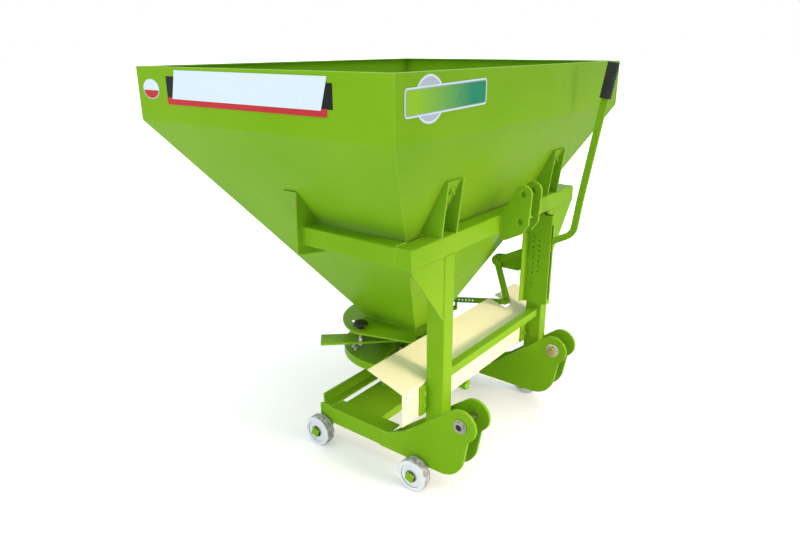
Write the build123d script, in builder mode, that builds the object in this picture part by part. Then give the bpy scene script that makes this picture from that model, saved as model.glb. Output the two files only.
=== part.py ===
"""Three-point mounted fertilizer spreader with a pyramid hopper and one spinning disc.

Millimetres, +Z up, ground at Z = 0. The tractor side faces -Y and X = 0 is the middle plane.
The side called right is at -X and the side called left, with the control lever, is at +X.
"""
import os
from math import atan2, cos, degrees, hypot, radians, sin

from build123d import *

os.makedirs("parts", exist_ok=True)

# Steel stock and fits
sheet = 3.0
plate = 8.0
thin_plate = 5.0
weld_gap = 0.3
pin_clearance = 0.15
slide_clearance = 2.0

# Hopper: a straight rim band over a four-sided funnel, open at the top and at the outlet
hopper_front_y = -62.0
hopper_half_x = 581.0
hopper_half_y = 424.0
hopper_top = 1122.0
rim_height = 135.0
lip_width = 14.0
outlet_half_x = 70.0
outlet_half_y = 101.0
outlet_z = 331.0
funnel_top = hopper_top - rim_height
disc_y = hopper_front_y + hopper_half_y
front_fall = (hopper_half_y - outlet_half_y) / (funnel_top - outlet_z)
side_fall = (hopper_half_x - outlet_half_x) / (funnel_top - outlet_z)

# Upper frame of square tube, with posts of rectangular tube
beam = 50.0
beam_wall = 4.0
beam_top = 735.0
side_beam_gap = 8.3
beam_half_x = hopper_half_x - (funnel_top - beam_top) * side_fall + side_beam_gap + beam
side_beam_end = disc_y - 17.0
post_outer_x = 305.0
post_width = 43.0
post_depth = 55.0
post_wall = 4.0
post_foot = 90.0
post_inner_x = post_outer_x - post_width
beam_foot = beam_top - beam
gusset_drop = 165.0
cross_bar = 24.0
cross_bar_top = 356.0
cross_bar_y = 13.0

# Lower hitch: two cheek plates a side with a pin between them
cheek_y = -61.0
cheek_z = 238.0
cheek_radius = 46.0
cheek_front_y = -84.0
cheek_neck_z = 196.0
cheek_foot = 70.0
cheek_toe_y = -62.0
cheek_heel_y = 210.0
cheek_tip_y = 216.0
cheek_tip_run = 14.0
cheek_knee_run = 54.0
cheek_toe_radius = 75.0
cheek_slope = 0.622
hitch_gap = 61.0
pin_diameter = 22.0
pin_head = 30.0
pin_head_length = 5.0

# Base frame: angle rails, a rear tube and the plate under the gearbox
rail_outer_x = post_outer_x + plate
rail_leg = 52.0
rail_thickness = 5.0
rail_top = 125.0
rail_end = disc_y + 70.0
rail_flange_start = 178.0
rear_beam_height = 38.0
rear_beam_depth = 32.0
tray_front = disc_y - 112.0
tray_depth = 140.0
tray_thickness = 6.0
tray_lip = 26.0
tray_half_x = 300.0

# Transport rollers
wheel_radius = 47.0
wheel_width = 32.0
wheel_gap = 5.0
wheel_front_y = 71.0
wheel_rear_y = rail_end
axle_diameter = 16.0
axle_head = 24.0
axle_head_length = 6.0
axle_head_angle = 20.0
axle_nut = 12.0
leg_half_width = 20.0
wheel_round = 5.0
wheel_recess_outer = 34.0
wheel_recess_inner = 18.0
wheel_recess_depth = 2.5

# Gearbox, input shaft and spinning disc
gearbox_half_x = 55.0
gearbox_front = disc_y - 66.0
gearbox_rear = disc_y + 32.0
gearbox_round = 14.0
gearbox_foot_half_x = 112.0
gearbox_foot_depth = 88.0
gearbox_foot_height = 10.0
gearbox_bolt_edge = 14.0
gearbox_bolt_hole = 11.0
gearbox_top = 206.0
gearbox_cap_radius = 36.0
input_z = 161.0
input_diameter = 35.0
input_end = 107.0
input_stub = 80.0
input_body = 42.0
neck_length = 26.0
neck_radius = 34.0
bearing_gap = 0.4
disc_radius = 196.0
disc_top = 244.0
disc_skirt = 26.0
disc_hub_radius = 34.0
disc_hub_rise = 14.0
disc_hub_gap = 6.0
vane_height = 25.0
vane_count = 4
vane_angle = 20.0
vane_length = 140.0
vane_middle = 115.0
vane_sheet = 4.0
vane_foot = 20.0
spindle_diameter = 25.0
spindle_top = 425.0
spindle_seat = 18.0
finger_diameter = 12.0
finger_reach = 75.0
finger_drop = 14.0
finger_pitch = 30.0

# Outlet: band and ported floor under the hopper, with the bush that the two ported plates turn on
band_height = 20.0
band_wall = 5.0
bush_radius = 20.0
bush_bore = 32.0
bush_flange = 30.0
bush_flange_thickness = 4.0
port_inner = 30.0
port_outer = 62.0
port_angle = 25.0
port_count = 4
plate_radius = 92.0
shutter_gap = 10.0
setting_gap = 5.0
setting_thickness = 6.0

# Quadrant with its arc slot, the setting lever under it and the knob that clamps the two
quadrant_radius = 198.0
quadrant_start_angle = 92.0
quadrant_end_angle = 168.0
quadrant_corner_x = -138.0
quadrant_corner_y = disc_y - 152.0
slot_radius = 165.0
slot_width = 9.0
slot_start_angle = 137.0
slot_end_angle = 166.0
setting_end_x = -228.0
setting_end_y = disc_y + 156.0
setting_root_x = -45.0
setting_root_y = disc_y - 42.0
setting_end_width = 70.0
setting_root_width = 62.0
knob_angle = 163.0
knob_radius = 24.0
knob_height = 10.0
knob_skirt = 11.0
knob_stem = 8.0
knob_collar = 10.5
bolt_head = 7.0

# Shutter arm and the upturned lug with the slot that the link's pin works in
arm_width = 30.0
lug_x = 226.0
lug_height = 57.0
lug_length = 30.0
lug_slot_width = 17.0
lug_slot_height = 37.0
shutter_angle = 30.0

# Control lever, a flat bar in one upright plane, with its grip and the link to the shutter
lever_x = 251.0
lever_thickness = 8.0
lever_width = 20.0
pivot_y = 163.0
pivot_z = 496.0
pivot_diameter = 16.0
pivot_head = 6.0
elbow_y = -90.0
elbow_z = 630.0
elbow_radius = 45.0
knee_y = -104.0
knee_z = 740.0
knee_radius = 300.0
handle_y = -163.0
handle_z = 1125.0
grip_length = 96.0
grip_depth = 30.0
grip_width = 26.0
grip_ribs = 9
grip_rib_depth = 1.0
link_y = 118.0
link_z = 362.0
link_end_y = disc_y - 48.0
link_end_z = 322.0
link_thickness = 6.0
link_width = 18.0
link_pin = 8.0
link_holes = 5
link_hole_pitch = 14.0
link_head = 5.0
link_reach = 28.0
bar_end = 5.0

# Slotted guide on the left post, and the plate behind the post that carries the pivot
guide_sheet = 3.0
guide_x = 240.0
guide_front = 25.0
guide_rear = 70.0
guide_top = 676.0
guide_foot = 385.0
guide_slot_width = 12.0
guide_slot_top = 648.0
guide_slot_foot = 400.0
index_hole = 7.0
index_pitch = 17.0
index_rear_y = 30.0
index_rear_z = 603.0
index_rear_count = 11
index_front_y = 10.0
index_front_z = 594.0
index_front_count = 7
mount_thickness = 6.0
mount_rise = 36.0
mount_drop = 25.0
mount_tail = 26.0

# Deflector sheet behind the posts, notched for the link
deflector_half_x = 405.0
deflector_y = 56.0
deflector_sheet = 2.0
deflector_foot = 237.0
deflector_fold = 332.0
deflector_rear_y = 172.0
deflector_rear_z = 368.0
notch_front = 109.0
notch_half_width = 18.0
notch_offset = 7.0
clamp_width = 30.0
clamp_thickness = 6.0

# Brackets between the upper frame and the hopper
bracket_width = 70.0
bracket_height = 136.0
bracket_sheet = 5.0
bracket_x = 287.0
side_bracket_height = 91.0
side_bracket_tip = 4.0
side_bracket_flange = 40.0
side_bracket_foot_out = 22.0
side_bracket_foot_in = 77.0
side_bracket_foot_drop = 21.0
side_bracket_tail_drop = 35.0

# Top-link ears
ear_gap = 50.0
ear_upper_y = -59.0
ear_upper_z = 798.0
ear_lower_y = -54.0
ear_lower_z = 722.0
ear_radius = 25.0
ear_hole = 19.5
ear_foot_drop = 20.0
ear_foot_width = 14.0
ear_chin_width = 8.0
ear_chin_drop = 32.5
ear_cheek_drop = 6.0


def keep(piece, node):
    """Label a finished piece and write its STEP file."""
    piece.part.label = node
    export_step(piece.part, f"parts/{node}.step")


def front_wall_y(z):
    """Y of the funnel's front face at height z."""
    return hopper_front_y + (funnel_top - z) * front_fall


def side_wall_x(z):
    """Distance from the middle plane to the funnel's side face at height z."""
    return hopper_half_x - (funnel_top - z) * side_fall


def sector(inner, outer, start, size):
    """Ring sector about the disc's axis."""
    with BuildSketch() as face:
        with BuildLine():
            near = CenterArc((0, disc_y), inner, start, size)
            far = CenterArc((0, disc_y), outer, start, size)
            Line(near @ 0, far @ 0)
            Line(near @ 1, far @ 1)
        make_face()
    return face.sketch


def bar_face(start, end, width):
    """Round-ended flat bar between two points of the sketch that is open."""
    run = Vector(end[0] - start[0], end[1] - start[1])
    middle = ((start[0] + end[0]) / 2, (start[1] + end[1]) / 2)
    with Locations(middle):
        SlotCenterToCenter(run.length, width, rotation=degrees(atan2(run.Y, run.X)))


# Hopper, one shell of folded and welded sheet with an inward lip round its mouth
with BuildPart() as hopper:
    with BuildSketch(Plane.XY.offset(outlet_z)):
        with Locations((0, disc_y)):
            Rectangle(2 * outlet_half_x, 2 * outlet_half_y)
    with BuildSketch(Plane.XY.offset(funnel_top)):
        with Locations((0, disc_y)):
            Rectangle(2 * hopper_half_x, 2 * hopper_half_y)
    loft()
    with BuildSketch(Plane.XY.offset(funnel_top)):
        with Locations((0, disc_y)):
            Rectangle(2 * hopper_half_x, 2 * hopper_half_y)
    extrude(amount=rim_height)
    with BuildSketch(Plane.XY.offset(outlet_z)):
        with Locations((0, disc_y)):
            Rectangle(2 * (outlet_half_x - sheet), 2 * (outlet_half_y - sheet))
    with BuildSketch(Plane.XY.offset(funnel_top)):
        with Locations((0, disc_y)):
            Rectangle(2 * (hopper_half_x - sheet), 2 * (hopper_half_y - sheet))
    loft(mode=Mode.SUBTRACT)
    with BuildSketch(Plane.XY.offset(funnel_top)):
        with Locations((0, disc_y)):
            Rectangle(2 * (hopper_half_x - sheet), 2 * (hopper_half_y - sheet))
    extrude(amount=rim_height - sheet, mode=Mode.SUBTRACT)
    with BuildSketch(Plane.XY.offset(hopper_top - sheet)):
        with Locations((0, disc_y)):
            Rectangle(2 * (hopper_half_x - lip_width), 2 * (hopper_half_y - lip_width))
    extrude(amount=sheet, mode=Mode.SUBTRACT)
keep(hopper, "hopper")

# Front beam, a square tube with capped ends
with BuildPart() as front_beam:
    with BuildSketch(Plane.YZ):
        with Locations((beam / 2, beam_top - beam / 2)):
            RectangleRounded(beam, beam, beam_wall)
    extrude(amount=beam_half_x, both=True)
    with BuildSketch(Plane.YZ):
        with Locations((beam / 2, beam_top - beam / 2)):
            Rectangle(beam - 2 * beam_wall, beam - 2 * beam_wall)
    extrude(amount=beam_half_x - beam_wall, both=True, mode=Mode.SUBTRACT)
keep(front_beam, "front_beam")

for side, sign in (("right", -1), ("left", 1)):
    # Side beam, welded behind the front beam and open at its rear end
    with BuildPart() as side_beam:
        with BuildSketch(Plane.XZ.offset(-beam)):
            with Locations((sign * (beam_half_x - beam / 2), beam_top - beam / 2)):
                RectangleRounded(beam, beam, beam_wall)
                Rectangle(beam - 2 * beam_wall, beam - 2 * beam_wall, mode=Mode.SUBTRACT)
        extrude(amount=-(side_beam_end - beam))
    keep(side_beam, f"side_beam_{side}")

    # Post of rectangular tube under the front beam
    with BuildPart() as post:
        with BuildSketch(Plane.XY.offset(post_foot)):
            with Locations((sign * (post_outer_x - post_width / 2), post_depth / 2)):
                RectangleRounded(post_width, post_depth, post_wall)
                Rectangle(post_width - 2 * post_wall, post_depth - 2 * post_wall, mode=Mode.SUBTRACT)
        extrude(amount=beam_foot - post_foot)
    keep(post, f"post_{side}")

    # Front gusset in the corner of beam and post
    with BuildPart() as gusset:
        with BuildSketch(Plane.XZ.offset(-slide_clearance)):
            with BuildLine():
                Polyline(
                    (sign * beam_half_x, beam_foot),
                    (sign * post_outer_x, beam_foot),
                    (sign * post_outer_x, beam_foot - gusset_drop),
                    (sign * (post_outer_x + thin_plate), beam_foot - gusset_drop),
                    close=True,
                )
            make_face()
        extrude(amount=-thin_plate)
    keep(gusset, f"gusset_{side}")

    # Front hopper bracket: a web on the funnel wall between two tapered flanges
    bracket_top = beam_top + bracket_height
    with BuildPart() as front_bracket:
        with BuildSketch(Plane.YZ.offset(sign * bracket_x)):
            with BuildLine():
                Polyline(
                    (slide_clearance, beam_top),
                    (front_wall_y(beam_top) - weld_gap, beam_top),
                    (front_wall_y(bracket_top) - weld_gap, bracket_top),
                    (front_wall_y(bracket_top) - 2 * bracket_sheet, bracket_top),
                    close=True,
                )
            make_face()
        extrude(amount=bracket_width / 2, both=True)
        with BuildSketch(Plane.YZ.offset(sign * bracket_x)):
            with BuildLine():
                Polyline(
                    (-beam, beam_top),
                    (front_wall_y(beam_top) - weld_gap - bracket_sheet, beam_top),
                    (front_wall_y(bracket_top) - weld_gap - bracket_sheet, bracket_top),
                    (-beam, bracket_top),
                    close=True,
                )
            make_face()
        extrude(amount=bracket_width / 2 - bracket_sheet, both=True, mode=Mode.SUBTRACT)
    keep(front_bracket, f"front_bracket_{side}")

    # Side hopper bracket: an end plate over the open side beam and a flange on the funnel wall
    side_top = beam_top + side_bracket_height
    wall_top_x = side_wall_x(side_top) + weld_gap
    wall_foot_x = side_wall_x(beam_top) + weld_gap
    with BuildPart() as side_bracket:
        with BuildSketch(Plane.XZ.offset(-side_beam_end)):
            with BuildLine():
                Polyline(
                    (sign * wall_top_x, side_top),
                    (sign * (wall_top_x + side_bracket_tip), side_top),
                    (sign * (beam_half_x + side_bracket_foot_out), beam_foot - side_bracket_foot_drop),
                    (sign * (beam_half_x - side_bracket_foot_in), beam_foot - side_bracket_tail_drop),
                    (sign * wall_foot_x, beam_top),
                    close=True,
                )
            make_face()
        extrude(amount=-bracket_sheet)
        with BuildSketch(Plane.XZ.offset(-side_beam_end)):
            with BuildLine():
                Polyline(
                    (sign * wall_top_x, side_top),
                    (sign * (wall_top_x + bracket_sheet), side_top),
                    (sign * (wall_foot_x + bracket_sheet), beam_top),
                    (sign * wall_foot_x, beam_top),
                    close=True,
                )
            make_face()
        extrude(amount=-(bracket_sheet + side_bracket_flange))
    keep(side_bracket, f"side_bracket_{side}")

    # Top-link ear, welded on edge to the front beam
    ear_x = ear_gap / 2 if sign > 0 else -ear_gap / 2 - plate
    with BuildPart() as ear:
        with BuildSketch(Plane.YZ.offset(ear_x)):
            with BuildLine():
                Polyline(
                    (0, beam_foot - ear_foot_drop),
                    (-ear_foot_width, beam_foot - ear_foot_drop),
                    (ear_lower_y - ear_chin_width, ear_lower_z - ear_chin_drop),
                    (ear_lower_y - ear_radius, ear_lower_z - ear_cheek_drop),
                    (ear_upper_y - ear_radius, ear_upper_z),
                    (ear_upper_y + 0.8 * ear_radius, ear_upper_z + 0.6 * ear_radius),
                    (0, beam_top),
                    close=True,
                )
            make_face()
            with Locations((ear_upper_y, ear_upper_z)):
                Circle(ear_radius)
            with Locations((ear_upper_y, ear_upper_z), (ear_lower_y, ear_lower_z)):
                Circle(ear_hole / 2, mode=Mode.SUBTRACT)
        extrude(amount=plate)
    keep(ear, f"top_link_ear_{side}")

    # Hitch cheeks: the outer one reaches back to the rail, the inner one ends in a point
    heel_top = rail_top - rail_thickness
    for place, face_x in (("outer", post_outer_x), ("inner", post_outer_x - hitch_gap - plate)):
        shoulder_y = cheek_y + cheek_radius * cheek_slope
        shoulder_z = cheek_z + cheek_radius * (1 - cheek_slope**2) ** 0.5
        fall = cheek_slope / (1 - cheek_slope**2) ** 0.5
        if place == "outer":
            knee_start = rail_flange_start - cheek_knee_run
            heel = [
                (knee_start, shoulder_z - (knee_start - shoulder_y) * fall),
                (rail_flange_start, rail_top + slide_clearance),
                (rail_flange_start, heel_top),
                (cheek_heel_y, heel_top),
                (cheek_heel_y, cheek_foot),
            ]
        else:
            heel = [
                (cheek_tip_y, shoulder_z - (cheek_tip_y - shoulder_y) * fall),
                (cheek_tip_y - cheek_tip_run, cheek_foot),
            ]
        start_x = face_x if sign > 0 else -face_x - plate
        with BuildPart() as cheek:
            with BuildSketch(Plane.YZ.offset(start_x)) as outline:
                with BuildLine():
                    Polyline(
                        (cheek_y, cheek_z),
                        (shoulder_y, shoulder_z),
                        *heel,
                        (cheek_toe_y, cheek_foot),
                        (cheek_front_y, cheek_neck_z),
                        (cheek_y - 0.92 * cheek_radius, cheek_z - 0.4 * cheek_radius),
                        close=True,
                    )
                make_face()
                toe = outline.vertices().sort_by_distance((cheek_toe_y, cheek_foot))[0]
                fillet(toe, cheek_toe_radius)
                with Locations((cheek_y, cheek_z)):
                    Circle(cheek_radius)
                    Circle(pin_diameter / 2 + pin_clearance, mode=Mode.SUBTRACT)
            extrude(amount=plate)
            if place == "inner":
                pad_x = face_x + plate if sign > 0 else -post_inner_x
                with BuildSketch(Plane.YZ.offset(pad_x)):
                    with Locations((post_depth / 2, (post_foot + cheek_neck_z) / 2)):
                        Rectangle(post_depth - 2 * thin_plate, cheek_neck_z - post_foot - 2 * thin_plate)
                extrude(amount=post_inner_x - face_x - plate)
        keep(cheek, f"hitch_cheek_{place}_{side}")

    # Hitch pin, headed outside the outer cheek
    with BuildPart() as hitch_pin:
        with BuildSketch(Plane.YZ.offset(sign * (rail_outer_x + pin_head_length))):
            with Locations((cheek_y, cheek_z)):
                Circle(pin_head / 2)
        extrude(amount=-sign * (pin_head_length - weld_gap))
        with BuildSketch(Plane.YZ.offset(sign * (rail_outer_x + pin_head_length))):
            with Locations((cheek_y, cheek_z)):
                Circle(pin_diameter / 2)
        extrude(amount=-sign * (pin_head_length + 2 * plate + hitch_gap + pin_head_length))
    keep(hitch_pin, f"hitch_pin_{side}")

    # Base rail of angle steel; its upright leg stops at the heel of the outer cheek
    with BuildPart() as rail:
        with BuildSketch(Plane.XZ.offset(-cheek_heel_y)):
            with Locations((sign * (rail_outer_x - rail_thickness / 2), rail_top - rail_leg / 2)):
                Rectangle(rail_thickness, rail_leg)
        extrude(amount=-(rail_end - cheek_heel_y))
        with BuildSketch(Plane.XZ.offset(-rail_flange_start)):
            with Locations((sign * (rail_outer_x - rail_leg / 2), rail_top - rail_thickness / 2)):
                Rectangle(rail_leg, rail_thickness)
        extrude(amount=-(rail_end - rail_flange_start))
    keep(rail, f"base_rail_{side}")

    # Deflector clamps: a flat welded to each side of the post
    with BuildPart() as clamp:
        with BuildSketch(Plane.XZ.offset(-(deflector_y - clamp_thickness))):
            for centre in (post_outer_x + clamp_width / 2, post_inner_x - clamp_width / 2):
                with Locations((sign * centre, (deflector_foot + deflector_fold) / 2 - thin_plate)):
                    Rectangle(clamp_width, deflector_fold - deflector_foot - 2 * thin_plate)
        extrude(amount=-clamp_thickness)
    keep(clamp, f"deflector_clamp_{side}")

    # Transport rollers, each on the headed axle of a leg
    for end, roller_y, leg_face, leg_top in (
        ("front", wheel_front_y, post_outer_x, post_foot - slide_clearance),
        ("rear", wheel_rear_y, rail_outer_x - rail_thickness, rail_top - rail_thickness),
    ):
        roller_x = rail_outer_x + wheel_gap
        leg_start = leg_face - plate if sign > 0 else -leg_face
        with BuildPart() as axle:
            with BuildSketch(Plane.YZ.offset(leg_start)):
                with Locations((roller_y, (wheel_radius + leg_top) / 2)):
                    Rectangle(2 * leg_half_width, leg_top - wheel_radius)
                with Locations((roller_y, wheel_radius)):
                    Circle(leg_half_width)
            extrude(amount=plate)
            with BuildSketch(Plane.YZ.offset(sign * (leg_face - plate - axle_nut))):
                with Locations((roller_y, wheel_radius)):
                    Circle(axle_diameter / 2)
            extrude(amount=sign * (roller_x + wheel_width + slide_clearance - leg_face + plate + axle_nut))
            with BuildSketch(Plane.YZ.offset(sign * (roller_x + wheel_width + slide_clearance))):
                with Locations((roller_y, wheel_radius)):
                    Rectangle(axle_head, axle_head, rotation=axle_head_angle)
            extrude(amount=sign * axle_head_length)
            with BuildSketch(Plane.YZ.offset(sign * (leg_face - plate - axle_nut))):
                with Locations((roller_y, wheel_radius)):
                    RegularPolygon(axle_diameter * 0.75, 6, major_radius=False)
            extrude(amount=sign * axle_nut)
        keep(axle, f"wheel_bracket_{end}_{side}")
        with BuildPart() as wheel:
            with BuildSketch(Plane.YZ.offset(sign * roller_x)):
                with Locations((roller_y, wheel_radius)):
                    Circle(wheel_radius)
                    Circle(axle_diameter / 2 + pin_clearance, mode=Mode.SUBTRACT)
            extrude(amount=sign * wheel_width)
            rims = wheel.edges().filter_by(GeomType.CIRCLE).sort_by(SortBy.RADIUS)[-2:]
            fillet(rims, wheel_round)
            with BuildSketch(Plane.YZ.offset(sign * (roller_x + wheel_width))):
                with Locations((roller_y, wheel_radius)):
                    Circle(wheel_recess_outer)
                    Circle(wheel_recess_inner, mode=Mode.SUBTRACT)
            extrude(amount=-sign * wheel_recess_depth, mode=Mode.SUBTRACT)
        keep(wheel, f"wheel_{end}_{side}")

# Cross bar between the posts
with BuildPart() as cross_bar_piece:
    with BuildSketch(Plane.YZ):
        with Locations((cross_bar_y + cross_bar / 2, cross_bar_top - cross_bar / 2)):
            Rectangle(cross_bar, cross_bar)
    extrude(amount=post_inner_x, both=True)
keep(cross_bar_piece, "cross_bar")

# Deflector: one folded sheet, its upper panel rising towards the disc and notched for the link
with BuildPart() as deflector:
    with BuildSketch(Plane.YZ):
        with BuildLine():
            Polyline(
                (deflector_y, deflector_foot),
                (deflector_y + deflector_sheet, deflector_foot),
                (deflector_y + deflector_sheet, deflector_fold - deflector_sheet),
                (deflector_rear_y, deflector_rear_z - deflector_sheet),
                (deflector_rear_y, deflector_rear_z),
                (deflector_y, deflector_fold),
                close=True,
            )
        make_face()
    extrude(amount=deflector_half_x, both=True)
    with BuildSketch(Plane.XY.offset(deflector_fold)):
        with Locations((lever_x - notch_offset, notch_front)):
            Rectangle(
                2 * notch_half_width, deflector_rear_y - notch_front + deflector_sheet,
                align=(Align.CENTER, Align.MIN),
            )
    extrude(amount=deflector_rear_z - deflector_fold + deflector_sheet, mode=Mode.SUBTRACT)
keep(deflector, "deflector")

# Rear beam of angle steel across the rails, its upright leg at the back
with BuildPart() as rear_beam:
    with BuildSketch(Plane.YZ):
        with BuildLine():
            Polyline(
                (rail_end, rail_top),
                (rail_end, rail_top + rear_beam_height),
                (rail_end - rail_thickness, rail_top + rear_beam_height),
                (rail_end - rail_thickness, rail_top + rail_thickness),
                (rail_end - rear_beam_depth, rail_top + rail_thickness),
                (rail_end - rear_beam_depth, rail_top),
                close=True,
            )
        make_face()
    extrude(amount=rail_outer_x, both=True)
keep(rear_beam, "rear_beam")

# Gearbox tray: a plate under the rails' flanges with its front edge folded down
tray_top = rail_top - rail_thickness
with BuildPart() as gearbox_tray:
    with BuildSketch(Plane.YZ):
        with BuildLine():
            Polyline(
                (tray_front, tray_top),
                (tray_front + tray_depth, tray_top),
                (tray_front + tray_depth, tray_top - tray_thickness),
                (tray_front + tray_thickness, tray_top - tray_thickness),
                (tray_front + tray_thickness, tray_top - tray_lip),
                (tray_front, tray_top - tray_lip),
                close=True,
            )
        make_face()
    extrude(amount=tray_half_x, both=True)
keep(gearbox_tray, "gearbox_tray")

# Gearbox housing with its bolting foot, input neck and output cap
gearbox_y = (gearbox_front + gearbox_rear) / 2
foot_y = gearbox_front + gearbox_foot_depth / 2 - thin_plate
with BuildPart() as gearbox:
    with BuildSketch(Plane.XY.offset(tray_top)):
        with Locations((0, foot_y)):
            RectangleRounded(2 * gearbox_foot_half_x, gearbox_foot_depth, gearbox_bolt_edge)
            with GridLocations(
                2 * (gearbox_foot_half_x - gearbox_bolt_edge), gearbox_foot_depth - 2 * gearbox_bolt_edge, 2, 2
            ):
                Circle(gearbox_bolt_hole / 2, mode=Mode.SUBTRACT)
    extrude(amount=gearbox_foot_height)
    with BuildSketch(Plane.XY.offset(tray_top)):
        with Locations((0, gearbox_y)):
            RectangleRounded(2 * gearbox_half_x, gearbox_rear - gearbox_front, gearbox_round)
    extrude(amount=gearbox_top - tray_top - gearbox_round, taper=2)
    with BuildSketch(Plane.XY.offset(gearbox_top - gearbox_round - slide_clearance)):
        with Locations((0, disc_y)):
            Circle(gearbox_cap_radius)
    extrude(amount=gearbox_round + slide_clearance)
    with BuildSketch(Plane.XZ.offset(-gearbox_front - thin_plate)):
        with Locations((0, input_z)):
            Circle(neck_radius)
    extrude(amount=neck_length + thin_plate)
    with BuildSketch(Plane.XZ.offset(neck_length - gearbox_front)):
        with Locations((0, input_z)):
            Circle(input_body / 2 + bearing_gap)
    extrude(amount=-2 * neck_length, mode=Mode.SUBTRACT)
    with BuildSketch(Plane.XY.offset(gearbox_top)):
        with Locations((0, disc_y)):
            Circle(spindle_diameter / 2 + bearing_gap)
    extrude(amount=-spindle_seat - slide_clearance, mode=Mode.SUBTRACT)
keep(gearbox, "gearbox")

# Input shaft: the stub that the drive shaft slides on, and the thicker body in the bearing
with BuildPart() as input_shaft:
    with BuildSketch(Plane.XZ.offset(-input_end)):
        with Locations((0, input_z)):
            Circle(input_diameter / 2)
    extrude(amount=-input_stub)
    with BuildSketch(Plane.XZ.offset(-input_end - input_stub)):
        with Locations((0, input_z)):
            Circle(input_body / 2)
    extrude(amount=-(gearbox_front + neck_length - slide_clearance - input_end - input_stub))
keep(input_shaft, "input_shaft")

# Spinning disc: a pan with a turned-down skirt, its hub and radial vanes
with BuildPart() as disc:
    with BuildSketch(Plane.XY.offset(disc_top - disc_skirt)):
        with Locations((0, disc_y)):
            Circle(disc_radius)
    extrude(amount=disc_skirt)
    with BuildSketch(Plane.XY.offset(disc_top - disc_skirt)):
        with Locations((0, disc_y)):
            Circle(disc_radius - sheet)
    extrude(amount=disc_skirt - sheet, mode=Mode.SUBTRACT)
    with BuildSketch(Plane.XY.offset(gearbox_top + disc_hub_gap)):
        with Locations((0, disc_y)):
            Circle(disc_hub_radius)
    extrude(amount=disc_top + disc_hub_rise - gearbox_top - disc_hub_gap)
    with BuildSketch(Plane.XY.offset(disc_top)):
        with Locations((0, disc_y)):
            with PolarLocations(0, vane_count, start_angle=vane_angle):
                with Locations((vane_middle, 0)):
                    Rectangle(vane_length, vane_sheet)
    extrude(amount=vane_height)
    with BuildSketch(Plane.XY.offset(disc_top)):
        with Locations((0, disc_y)):
            with PolarLocations(0, vane_count, start_angle=vane_angle):
                with Locations((vane_middle, vane_foot / 2)):
                    Rectangle(vane_length, vane_foot)
    extrude(amount=vane_sheet)
    with BuildSketch(Plane.XY.offset(gearbox_top)):
        with Locations((0, disc_y)):
            Circle(spindle_diameter / 2)
    extrude(amount=disc_top + disc_hub_rise + vane_height - gearbox_top, mode=Mode.SUBTRACT)
keep(disc, "spinning_disc")

# Spindle through the outlet with the agitator's fingers at its top
with BuildPart() as spindle:
    with BuildSketch(Plane.XY.offset(gearbox_top - spindle_seat)):
        with Locations((0, disc_y)):
            Circle(spindle_diameter / 2)
    extrude(amount=spindle_top - gearbox_top + spindle_seat)
    with BuildSketch(Plane.YZ):
        with Locations((disc_y, spindle_top - finger_drop)):
            Circle(finger_diameter / 2)
    extrude(amount=finger_reach, both=True)
    with BuildSketch(Plane.XZ.offset(-disc_y)):
        with Locations((0, spindle_top - finger_drop - finger_pitch)):
            Circle(finger_diameter / 2)
    extrude(amount=finger_reach, both=True)
keep(spindle, "agitator_spindle")

# Outlet band under the hopper, with its ported floor
band_x = outlet_half_x + slide_clearance
band_y = outlet_half_y + slide_clearance
band_foot = outlet_z - band_height
floor_foot = band_foot - sheet
with BuildPart() as outlet_band:
    with BuildSketch(Plane.XY.offset(band_foot)):
        with Locations((0, disc_y)):
            Rectangle(2 * band_x, 2 * band_y)
            Rectangle(2 * (band_x - band_wall), 2 * (band_y - band_wall), mode=Mode.SUBTRACT)
    extrude(amount=band_height)
    with BuildSketch(Plane.XY.offset(floor_foot)):
        with Locations((0, disc_y)):
            Rectangle(2 * band_x, 2 * band_y)
            Circle(bush_bore / 2, mode=Mode.SUBTRACT)
        for index in range(port_count):
            start = index * 360 / port_count - port_angle / 2
            add(sector(port_inner, port_outer, start, port_angle), mode=Mode.SUBTRACT)
    extrude(amount=sheet)
keep(outlet_band, "outlet_band")

# Turned bush under the floor: the spindle runs through it and the two plates turn on it
shutter_top = floor_foot - shutter_gap
shutter_foot = shutter_top - thin_plate
setting_top = shutter_foot - setting_gap
setting_foot = setting_top - setting_thickness
bush_foot = setting_foot - bush_flange_thickness
with BuildPart() as bush:
    with BuildSketch(Plane.XY.offset(bush_foot)):
        with Locations((0, disc_y)):
            Circle(bush_radius)
            Circle(bush_bore / 2, mode=Mode.SUBTRACT)
    extrude(amount=floor_foot - bush_foot)
    with BuildSketch(Plane.XY.offset(bush_foot)):
        with Locations((0, disc_y)):
            Circle(bush_flange)
            Circle(bush_radius, mode=Mode.SUBTRACT)
    extrude(amount=bush_flange_thickness)
keep(bush, "shutter_bush")

# Shutter: a flat ported plate that turns on the bush
with BuildPart() as shutter:
    with BuildSketch(Plane.XY.offset(shutter_foot)):
        with Locations((0, disc_y)):
            Circle(plate_radius)
            Circle(bush_radius + pin_clearance, mode=Mode.SUBTRACT)
        for index in range(port_count):
            start = index * 360 / port_count - port_angle / 2 - shutter_angle
            add(sector(port_inner, port_outer, start, port_angle), mode=Mode.SUBTRACT)
    extrude(amount=thin_plate)
keep(shutter, "shutter")

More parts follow.
